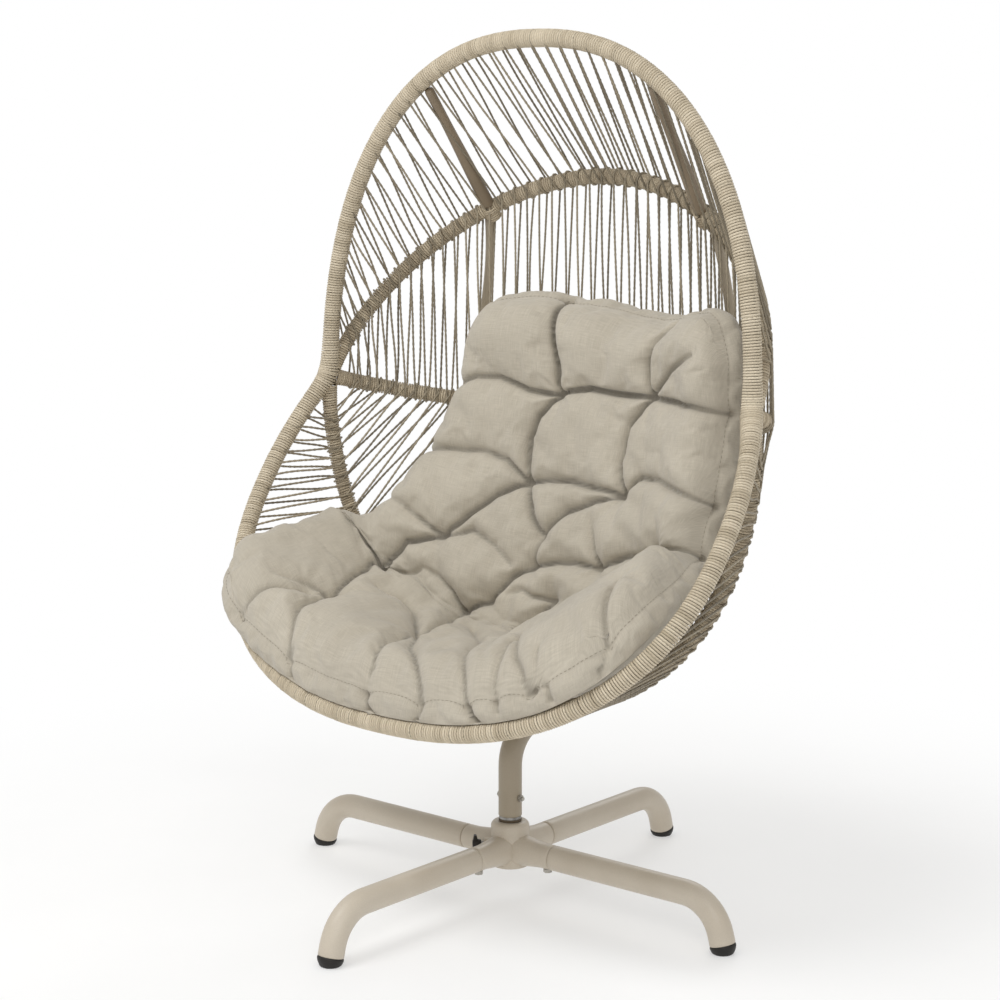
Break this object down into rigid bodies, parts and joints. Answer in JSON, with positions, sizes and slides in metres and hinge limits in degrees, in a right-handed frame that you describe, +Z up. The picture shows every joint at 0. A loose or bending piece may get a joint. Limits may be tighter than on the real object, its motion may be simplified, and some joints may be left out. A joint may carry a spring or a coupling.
{
  "type": "swivel egg chair",
  "caption": "Egg-shaped garden lounge chair: a corded steel shell with a tufted cushion, turning on a four-legged tube base with a swivel lock.",
  "frame": {"origin": "on the floor, on the swivel axis, in the middle of the four feet", "axes": "+Z up along the swivel axis; at rest the chair faces -Y, and +X is on the right of someone who looks along +Y at its front"},
  "size_m": [0.9586, 0.8722, 1.379],
  "materials": {
    "powder_coat": "satin",
    "zinc_plate": "satin",
    "bare_steel": "turned, oiled",
    "nylon": "matte",
    "black_plastic": "matte",
    "wound_cord": "twisted polyethylene cord, satin",
    "laced_cord": "twisted polyethylene cord, satin",
    "cushion_cloth": "plain woven polyester"
  },
  "bodies": {
    "base": {"base_hub": "powder_coat", "upper_bush": "nylon", "lower_bush": "nylon", "leg_right": "powder_coat", "foot_cap_right": "black_plastic", "leg_bolt_right": "zinc_plate", "leg_rear": "powder_coat", "foot_cap_rear": "black_plastic", "leg_bolt_rear": "zinc_plate", "leg_left": "powder_coat", "foot_cap_left": "black_plastic", "leg_bolt_left": "zinc_plate", "leg_front": "powder_coat", "foot_cap_front": "black_plastic", "leg_bolt_front": "zinc_plate"},
    "lock_pad": {"lock_pad": "nylon"},
    "lock_screw": {"lock_screw": "bare_steel", "lock_knob": "black_plastic"},
    "seat": {"swivel_column": "powder_coat", "rim_upper_tube": "powder_coat", "rim_lower_tube": "powder_coat", "top_arch_tube": "powder_coat", "mid_hoop_tube": "powder_coat", "bottom_hoop_tube": "powder_coat", "upper_strut_left": "powder_coat", "back_strut_left": "powder_coat", "upper_strut_right": "powder_coat", "back_strut_right": "powder_coat", "lower_bracket": "powder_coat", "upper_bracket": "powder_coat", "retaining_washer": "zinc_plate", "retaining_bolt": "zinc_plate", "column_bolt": "zinc_plate", "column_nut": "zinc_plate", "lower_u_bolt_1": "zinc_plate", "lower_u_bolt_2": "zinc_plate", "upper_u_bolt_1": "zinc_plate", "upper_u_bolt_2": "zinc_plate", "lower_nut_1": "zinc_plate", "lower_nut_2": "zinc_plate", "lower_nut_3": "zinc_plate", "lower_nut_4": "zinc_plate", "upper_nut_1": "zinc_plate", "upper_nut_2": "zinc_plate", "upper_nut_3": "zinc_plate", "upper_nut_4": "zinc_plate", "pivot_shaft": "bare_steel", "column_cap": "black_plastic", "rim_upper_wrap": "wound_cord", "rim_lower_wrap": "wound_cord", "top_arch_wrap": "wound_cord", "mid_hoop_wrap": "wound_cord", "bottom_hoop_wrap": "wound_cord", "hood_lacing": "laced_cord", "back_lacing": "laced_cord", "side_lacing_left": "laced_cord", "side_lacing_right": "laced_cord", "seat_lacing_left": "laced_cord", "seat_lacing_right": "laced_cord", "cushion": "cushion_cloth"}
  },
  "joints": [
    {"name": "seat_swivel", "type": "hinge", "parent": "base", "child": "seat", "pos_m": [0, 0, 0.1], "axis": [0, 0, 1], "continuous": true},
    {"name": "lock_advance", "type": "slide", "parent": "base", "child": "lock_pad", "axis": [-0.7071, -0.7071, 0], "range_m": [0, 0.0038]},
    {"name": "lock_turn", "type": "hinge", "parent": "lock_pad", "child": "lock_screw", "pos_m": [-0.0354, -0.0354, 0.087], "axis": [-0.7071, -0.7071, 0], "range_deg": [0, 1080]}
  ],
  "couplings": [
    {"joint": "lock_advance", "follows": "lock_turn", "m_per_rad": 0.00019894}
  ]
}
